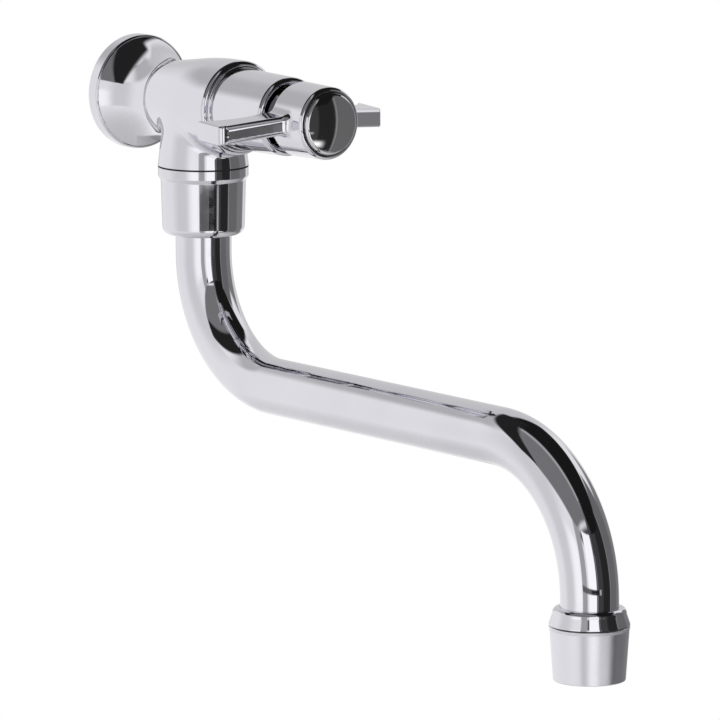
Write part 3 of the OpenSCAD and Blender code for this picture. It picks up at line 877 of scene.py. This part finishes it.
def wing_field(x, y, z):
    """One pair of wings: a swept bar with rounded edges, hollow towards the wall."""
    tilt = math.radians(WING_TILT)
    xt = x * math.cos(tilt) + z * math.sin(tilt)
    zt = -x * math.sin(tilt) + z * math.cos(tilt)
    xa = np.abs(xt)
    s = -y
    py = y + root_s
    pz = zt - root_z
    depth = bar_rows[1, 0] * xa + bar_rows[1, 1] * py + bar_rows[1, 2] * pz
    height = bar_rows[2, 0] * xa + bar_rows[2, 1] * py + bar_rows[2, 2] * pz
    bar = rounded(-depth + WING_ROUND, np.abs(height) - WING_T / 2 + WING_ROUND, WING_ROUND)
    past_x = xa - (WING_SPAN - TIP_R)
    past_s = s - (wing_front - TIP_R - TIP_SETBACK)
    tip_round = np.sqrt(np.maximum(past_x, 0) ** 2 + np.maximum(past_s, 0) ** 2) - TIP_R
    tip_round = np.where((past_x > 0) & (past_s > 0), tip_round, FAR_INSIDE)
    tip = np.maximum(xa - WING_SPAN, tip_round)
    hollow = hollow_r - np.sqrt((xa - hollow_x) ** 2 + (s - wing_back + hollow_r) ** 2)
    beside = np.minimum(wing_back - s, hollow_x + HOLLOW_OVERLAP - xa)
    rear = np.where(xa > hollow_x, hollow, FAR_INSIDE)
    behind = wing_front - WING_DEPTH - s
    back = np.maximum(np.maximum(rear, beside), behind)
    shape = soft_max(bar, tip, TIP_SOFT)
    return soft_max(shape, back, REAR_SOFT)


def hub_field(x, y, z):
    """Slightly tapered hub with its rear edge rounded."""
    s = -y
    rho = np.sqrt(x * x + z * z)
    wall = rho - (HUB_R + (HUB_FRONT_R - HUB_R) * (s - S_HUB) / HUB_LEN)
    return rounded(wall + EDGE_R, S_HUB - s + EDGE_R, EDGE_R)


def handle_field(x, y, z):
    """Hub and wings joined by a fillet."""
    return soft_min(hub_field(x, y, z), wing_field(x, y, z), WING_FILLET)


hub_cut = S_FRONT - HUB_FRONT_LEN
handle_back_y = -wing_front + WING_DEPTH + HANDLE_MARGIN
handle_low = (-WING_SPAN - HANDLE_MARGIN, -hub_cut - CUT_MARGIN, -HANDLE_HALF)
handle_high = (WING_SPAN + HANDLE_MARGIN, handle_back_y, HANDLE_HALF)
hub_cuts = [((0, -hub_cut, 0), (0, 1, 0))]
handle = skin(
    "handle_skin", handle_field, handle_low, handle_high, HANDLE_GRID, [chrome], "handle", hub_cuts
)
stands_for(handle, "chrome", "handle")

cut_r = HUB_R + (HUB_FRONT_R - HUB_R) * (hub_cut - S_HUB) / HUB_LEN
# The floor of the gap around the cap is painted near black, as shade
hub_front = corner(
    [
        (cut_r, hub_cut),
        (HUB_FRONT_R, S_FRONT, HUB_ROUND),
        (CAP_R + CAP_GAP, S_FRONT, CAP_GAP),
        (CAP_R + CAP_GAP, S_FRONT - CAP_T, 0.0, 1),
        (0.0, S_FRONT - CAP_T),
    ]
)
hub_ring = lathe("handle_front_skin", hub_front, barrel, [chrome, painted_gap_shade], "handle")
stands_for(hub_ring, "chrome", "handle")

headwork_s = S_BONNET + BONNET_LEN - SKIRT_BACK
skirt_profile = corner(
    [
        (SKIRT_BORE_R, headwork_s + SKIRT_BORE_LEN),
        (SKIRT_BORE_R, headwork_s + SKIRT_GAP, SKIRT_INNER_EDGE_R),
        (MOUTH_R - SKIRT_CLEAR, headwork_s + SKIRT_GAP, SKIRT_EDGE_R),
        (MOUTH_R - SKIRT_CLEAR, S_HUB + SKIRT_OVERLAP),
    ]
)
skirt = lathe("handle_skirt_skin", skirt_profile, barrel, [chrome], "handle")
stands_for(skirt, "chrome", "handle")

# The cap's edge is an arc that meets the dome's arc at CAP_MEET degrees, without a crease.
meet = math.radians(CAP_MEET)
dome_arc = (CAP_R - CAP_EDGE_R) / math.cos(meet) + CAP_EDGE_R
dome_centre = S_FRONT + CAP_RISE - dome_arc
cap_edge_s = S_FRONT + CAP_RISE - CAP_EDGE_R * math.sin(meet) - dome_arc * (1 - math.sin(meet))
cap_segments = corner([(0.0, S_FRONT - CAP_T), (CAP_R, S_FRONT - CAP_T), (CAP_R, cap_edge_s)])
cap_segments += arc(CAP_R - CAP_EDGE_R, cap_edge_s, CAP_EDGE_R, 0.0, CAP_MEET, 1.0, CAP_EDGE_STEP)
cap_segments += arc(0.0, dome_centre, dome_arc, CAP_MEET, 90.0, 1.0, DOME_STEP)
cap = lathe("handle_cap_skin", cap_segments, barrel, [cap_chrome], "handle")
stands_for(cap, "cap_chrome", "handle_cap")

# Union nut ---------------------------------------------------------------

nut_bore_r = TUBE_R + NUT_CLEAR
taper_top = NUT_H - NUT_BAND_H - NUT_CHAMFER
# The chamfer at the top of the band is painted near black, as the shade in the joint
nut_profile = corner(
    [
        (nut_bore_r, 0.0),
        (NUT_FOOT_R, 0.0, NUT_ROUND),
        (NUT_R, taper_top, NUT_EDGE_R),
        (NUT_BAND_R, taper_top + NUT_CHAMFER, NUT_EDGE_R),
        (NUT_BAND_R, NUT_H - BREAK_W, 0.0, 1),
        (NUT_BAND_R - BREAK_W, NUT_H),
        (SPIGOT_R, NUT_H),
        (SPIGOT_R, NUT_H - NUT_BORE_H),
        (NUT_BUSH_R, NUT_H - NUT_BORE_H),
        (NUT_BUSH_R, NUT_FLOOR_T),
        (nut_bore_r, NUT_FLOOR_T),
        (nut_bore_r, 0.0),
    ]
)
nut = lathe("union_nut_skin", shifted(nut_profile, Z_NUT), swivel, [chrome, painted_gap_shade], "body")
stands_for(nut, "chrome", "union_nut")

# Spout tube --------------------------------------------------------------


def spout_line():
    """Centreline of the spout as (points, directions), from the nut to the aerator."""
    points = []
    ways = []

    def put(s, z, turn):
        points.append((0.0, -s, z))
        ways.append((0.0, -math.cos(turn), math.sin(turn)))

    for z in np.linspace(Z_JOINT + TUBE_OVERRUN, ZC1, TUBE_DROP_ROWS, endpoint=False):
        put(SWIVEL_S, z, -math.pi / 2)
    for t in np.linspace(0.0, 90.0, TUBE_BEND_ROWS, endpoint=False):
        a = math.radians(t)
        s = SWIVEL_S + BEND1_R * (1 - math.cos(a))
        put(s, ZC1 - BEND1_R * math.sin(a), a - math.pi / 2)
    for s in np.linspace(SWIVEL_S + BEND1_R, OUT_S - BEND2_R, TUBE_RUN_ROWS, endpoint=False):
        put(s, RUN_Z, 0.0)
    for t in np.linspace(0.0, 90.0, TUBE_BEND_ROWS, endpoint=False):
        a = math.radians(t)
        s = OUT_S - BEND2_R + BEND2_R * math.sin(a)
        put(s, ZC2 + BEND2_R * math.cos(a), -a)
    for z in np.linspace(ZC2, Z_RING - RING_H + TUBE_OVERRUN, TUBE_END_ROWS):
        put(OUT_S, z, -math.pi / 2)
    return np.array(points), np.array(ways)


spout_points, spout_ways = spout_line()
side_way = np.array([1.0, 0.0, 0.0])
over_way = np.cross(spout_ways, side_way)
spout_angle = np.arange(TUBE_SIDES) * 2 * math.pi / TUBE_SIDES
spout_normals = (
    np.cos(spout_angle)[None, :, None] * side_way[None, None, :]
    + np.sin(spout_angle)[None, :, None] * over_way[:, None, :]
)
spout_grid = spout_points[:, None, :] + TUBE_R * spout_normals
# The lining runs the other way, so that its faces point into the water way.
inner_grid = spout_points[::-1, None, :] + (TUBE_R - TUBE_WALL) * spout_normals[::-1]
tube = grid_mesh("spout_tube_skin", spout_grid, spout_normals, [chrome], "spout")
stands_for(tube, "chrome", "spout_tube")
lining = grid_mesh("spout_tube_lining", inner_grid, -spout_normals[::-1], [brass], "spout")
stands_for(lining, "brass", "spout_tube")

# Aerator -----------------------------------------------------------------

top_r = AER_R - RING_TAPER
# The chamfer at the ring's lower edge is painted near black, as the shade in the joint
ring_profile = corner(
    [
        (RING_BORE_R, 0.0),
        (AER_R - BREAK_W, 0.0, 0.0, 1),
        (AER_R, BREAK_W),
        (AER_R, BREAK_W + RING_BAND_H, RING_BAND_EDGE_R),
        (top_r, RING_H - RING_SHOULDER_H, RING_SHOULDER_R),
        (top_r, RING_H, RING_TOP_R),
        (TUBE_R + RING_GAP, RING_H, RING_LIP_R),
        (TUBE_R + RING_GAP, RING_H - RING_SOCKET_H),
    ]
)
ring = lathe("aerator_ring_skin", shifted(ring_profile, Z_LINE), outlet, [chrome, painted_gap_shade], "spout")
stands_for(ring, "chrome", "aerator_ring")
shell_neck_r = AER_R - SHELL_TAPER
shell_profile = corner(
    [
        (SHELL_LIP_R, SHELL_LIP_T),
        (SHELL_LIP_R, 0.0, SHELL_LIP_EDGE_R),
        (AER_MOUTH_R, 0.0, SHELL_MOUTH_EDGE_R),
        (shell_neck_r, SHELL_H - SHELL_NECK_H, SHELL_NECK_ROUND),
        (AER_R, SHELL_H - BREAK_W, SHELL_TOP_EDGE_R),
        (AER_R - BREAK_W, SHELL_H),
        (SHELL_BORE_R, SHELL_H),
        (SHELL_BORE_R, SHELL_LIP_T),
        (SHELL_LIP_R, SHELL_LIP_T),
    ]
)
shell = lathe("aerator_shell_skin", shifted(shell_profile, Z_MOUTH), outlet, [satin], "spout")
stands_for(shell, "satin_chrome", "aerator_shell")

# Studio ------------------------------------------------------------------
# A white surround. Grey and black flags and three bright panels stand and hang in it, far from
# the tap, and only the metal sees them.

RING_R = 0.63
RING_Y = -0.19
CEILING = 0.2
LAYER_GAP = 0.004
CLOTH_COLUMNS = 49
FLOOR_Z = -0.5
FLOOR_R = 1.0
FLOOR_PLAIN_R = 0.1
FLOOR_TONE = 0.88
FLOOR_STEP = 3
LAMP_SIZE = 1.6
LAMP_POWER = 20.0
LAMP_PLACE = (-1.2, -1.4, 1.9)
LAMP_AIM = (0.0, -0.15, -0.1)
SEEN_STRENGTH = 1.0
LIGHT_STRENGTH = 0.6


def tone(name, level, soft_u, soft_v):
    """Plain glowing cloth of one level. Its edges fade over a share of the piece."""
    mat = bpy.data.materials.new(name)
    mat.use_nodes = True
    nodes = mat.node_tree.nodes
    links = mat.node_tree.links
    nodes.clear()
    place = nodes.new("ShaderNodeUVMap")
    split = nodes.new("ShaderNodeSeparateXYZ")
    links.new(place.outputs["UV"], split.inputs["Vector"])
    cover = None
    for axis, soft in (("X", soft_u), ("Y", soft_v)):
        centre = nodes.new("ShaderNodeMath")
        centre.operation = "SUBTRACT"
        centre.inputs[1].default_value = 0.5
        links.new(split.outputs[axis], centre.inputs[0])
        off = nodes.new("ShaderNodeMath")
        off.operation = "ABSOLUTE"
        links.new(centre.outputs[0], off.inputs[0])
        fade = nodes.new("ShaderNodeMapRange")
        fade.interpolation_type = "SMOOTHSTEP"
        fade.inputs["From Min"].default_value = 0.5
        fade.inputs["From Max"].default_value = 0.5 - soft
        links.new(off.outputs[0], fade.inputs["Value"])
        if cover is None:
            cover = fade.outputs["Result"]
        else:
            both = nodes.new("ShaderNodeMath")
            both.operation = "MULTIPLY"
            links.new(cover, both.inputs[0])
            links.new(fade.outputs["Result"], both.inputs[1])
            cover = both.outputs[0]
    glow = nodes.new("ShaderNodeEmission")
    glow.inputs["Color"].default_value = (level, level, level, 1.0)
    clear = nodes.new("ShaderNodeBsdfTransparent")
    mix = nodes.new("ShaderNodeMixShader")
    end = nodes.new("ShaderNodeOutputMaterial")
    links.new(cover, mix.inputs["Fac"])
    links.new(clear.outputs[0], mix.inputs[1])
    links.new(glow.outputs[0], mix.inputs[2])
    links.new(mix.outputs[0], end.inputs["Surface"])
    return mat


def cloth(name, rows, level, soft):
    """Stage piece from a grid of points in metres, seen by the metal alone."""
    points = np.array(rows)
    count_v, count_u = points.shape[:2]
    mesh = bpy.data.meshes.new(name)
    faces = []
    uvs = []
    for i in range(count_v - 1):
        for j in range(count_u - 1):
            k = i * count_u + j
            faces.append([k, k + 1, k + count_u + 1, k + count_u])
            for di, dj in ((0, 0), (0, 1), (1, 1), (1, 0)):
                uvs.append(((j + dj) / (count_u - 1), (i + di) / (count_v - 1)))
    mesh.from_pydata(points.reshape(-1, 3).tolist(), [], faces)
    layer = mesh.uv_layers.new(name="UVMap")
    for loop, uv in zip(layer.data, uvs):
        loop.uv = uv
    mesh.materials.append(tone(name, level, *soft))
    obj = bpy.data.objects.new(name, mesh)
    bpy.context.scene.collection.objects.link(obj)
    obj.visible_camera = False
    obj.visible_diffuse = False
    obj.visible_shadow = False


def standing(order, name, turn, height, level, fade):
    """Curved cloth around the tap. It spans two turns in degrees, 0 in front and 90 to the right."""
    radius = RING_R + LAYER_GAP * order
    start = turn[0] - fade[0] / 2
    stop = turn[1] + fade[0] / 2
    low = height[0] - fade[1] / 2
    high = height[1] + fade[1] / 2
    rows = []
    for z in (low, high):
        row = []
        for a in np.radians(np.linspace(start, stop, CLOTH_COLUMNS)):
            row.append((radius * math.sin(a), RING_Y - radius * math.cos(a), z))
        rows.append(row)
    soft = (fade[0] / (stop - start), fade[1] / (high - low))
    cloth(name, rows, level, soft)


def hanging(order, name, across, along, level, fade):
    """Level cloth above the tap. It spans two distances to the right and two along Y."""
    z = CEILING - LAYER_GAP * order
    x0 = across[0] - fade / 2
    x1 = across[1] + fade / 2
    y0 = along[0] - fade / 2
    y1 = along[1] + fade / 2
    rows = [[(x0, y0, z), (x1, y0, z)], [(x0, y1, z), (x1, y1, z)]]
    cloth(name, rows, level, (fade / (x1 - x0), fade / (y1 - y0)))


# Name, turns in degrees, heights in metres, level, and the width over which each edge fades
STANDING = [
    ("nut_light", (1.0, 7.0), (-0.212, -0.180), 0.5, (3.0, 0.006)),
    ("nut_flag", (-27.0, -1.0), (-0.212, -0.180), 0.02, (3.0, 0.006)),
    ("nut_shade", (-56.0, -26.0), (-0.212, -0.180), 0.14, (4.0, 0.006)),
    ("low_glow", (-6.0, 24.0), (-0.44, -0.34), 1.5, (16.0, 0.08)),
    ("front_panel", (-34.0, -9.0), (-0.52, 0.30), 1.3, (2.0, 0.1)),
    ("front_edge", (-9.0, -4.5), (-0.7, 0.6), 0.13, (1.5, 0.06)),
    ("front_fade", (-5.0, 14.0), (-0.7, 0.5), 0.06, (5.0, 0.06)),
    ("front_flag", (10.0, 44.0), (-0.7, 0.5), 0.025, (8.0, 0.06)),
    ("camera_gap", (-57.0, -40.0), (-0.9, 0.2), 0.45, (4.0, 0.04)),
    ("left_panel", (-84.0, -54.0), (-0.32, 0.04), 1.25, (26.0, 0.12)),
    ("left_shade", (-130.0, -88.0), (-0.33, 0.3), 0.80, (30.0, 0.05)),
    ("right_near", (44.0, 80.0), (-1.1, 0.42), 0.17, (4.0, 0.1)),
    ("right_flag", (76.0, 112.0), (-1.0, 0.16), 0.24, (10.0, 0.1)),
    ("right_back_flag", (103.0, 144.0), (-1.4, -0.32), 0.33, (6.0, 0.1)),
    ("right_back_shade", (118.0, 172.0), (-0.2, 0.7), 0.70, (24.0, 0.2)),
    ("back_top", (-200.0, -138.0), (0.3, 1.2), 0.58, (24.0, 0.16)),
]
for order, (name, turn, height, level, fade) in enumerate(STANDING):
    standing(order, name, turn, height, level, fade)

# Name, distances to the right, distances along Y, level, and the width of each faded edge
HANGING = [
    ("ceiling_grey", (-0.54, -0.04), (-0.69, -0.1), 0.22, 0.08),
    ("ceiling_black", (-0.03, 0.34), (-1.2, -0.01), 0.012, 0.04),
    ("ceiling_band", (-0.5, 0.11), (-0.12, 0.045), 0.02, 0.04),
    ("ceiling_far", (-0.55, 0.0), (-1.3, -0.72), 0.08, 0.12),
]
for order, (name, across, along, level, fade) in enumerate(HANGING):
    hanging(order, name, across, along, level, fade)

# The floor carries the tap's soft shadow and fades out around it
floor_mat, floor_shader = material("floor", (FLOOR_TONE, FLOOR_TONE, FLOOR_TONE), 0.0, 0.8)
floor_nodes = floor_mat.node_tree.nodes
floor_links = floor_mat.node_tree.links
floor_place = floor_nodes.new("ShaderNodeTexCoord")
floor_reach = floor_nodes.new("ShaderNodeVectorMath")
floor_reach.operation = "DISTANCE"
floor_reach.inputs[1].default_value = (0.0, RING_Y, FLOOR_Z)
floor_links.new(floor_place.outputs["Object"], floor_reach.inputs[0])
floor_fade = floor_nodes.new("ShaderNodeMapRange")
floor_fade.interpolation_type = "SMOOTHSTEP"
floor_fade.inputs["From Min"].default_value = FLOOR_R
floor_fade.inputs["From Max"].default_value = FLOOR_PLAIN_R
floor_links.new(floor_reach.outputs["Value"], floor_fade.inputs["Value"])
floor_links.new(floor_fade.outputs["Result"], floor_shader.inputs["Alpha"])
floor_mesh = bpy.data.meshes.new("floor")
rim_turns = np.radians(np.arange(0, 360, FLOOR_STEP))
floor_rim = np.stack([np.cos(rim_turns), np.sin(rim_turns), 0 * rim_turns], -1) * FLOOR_R
floor_rim = floor_rim + np.array([0.0, RING_Y, FLOOR_Z])
floor_mesh.from_pydata(floor_rim.tolist(), [], [list(range(len(floor_rim)))])
floor_mesh.materials.append(floor_mat)
floor = bpy.data.objects.new("floor", floor_mesh)
bpy.context.scene.collection.objects.link(floor)

lamp_data = bpy.data.lights.new("key", "AREA")
lamp_data.shape = "DISK"
lamp_data.size = LAMP_SIZE
lamp_data.energy = LAMP_POWER
lamp = bpy.data.objects.new("key", lamp_data)
bpy.context.scene.collection.objects.link(lamp)
lamp.location = LAMP_PLACE
lamp.rotation_euler = (Vector(LAMP_AIM) - lamp.location).to_track_quat("-Z", "Y").to_euler()
lamp.visible_glossy = False
lamp.visible_camera = False

# The world is white where the camera or a mirror sees it, and lights the rest less
world = bpy.data.worlds.new("studio")
world.use_nodes = True
bpy.context.scene.world = world
world_nodes = world.node_tree.nodes
path = world_nodes.new("ShaderNodeLightPath")
seen = world_nodes.new("ShaderNodeMath")
seen.operation = "MAXIMUM"
world.node_tree.links.new(path.outputs["Is Camera Ray"], seen.inputs[0])
world.node_tree.links.new(path.outputs["Is Glossy Ray"], seen.inputs[1])
clear_seen = world_nodes.new("ShaderNodeMath")
clear_seen.operation = "MAXIMUM"
world.node_tree.links.new(seen.outputs[0], clear_seen.inputs[0])
world.node_tree.links.new(path.outputs["Is Transmission Ray"], clear_seen.inputs[1])
strength = world_nodes.new("ShaderNodeMapRange")
strength.inputs["To Min"].default_value = LIGHT_STRENGTH
strength.inputs["To Max"].default_value = SEEN_STRENGTH
world.node_tree.links.new(clear_seen.outputs[0], strength.inputs["Value"])
world_nodes["Background"].inputs["Color"].default_value = (1.0, 1.0, 1.0, 1.0)
world.node_tree.links.new(strength.outputs["Result"], world_nodes["Background"].inputs["Strength"])

bpy.context.scene.view_settings.view_transform = "Standard"
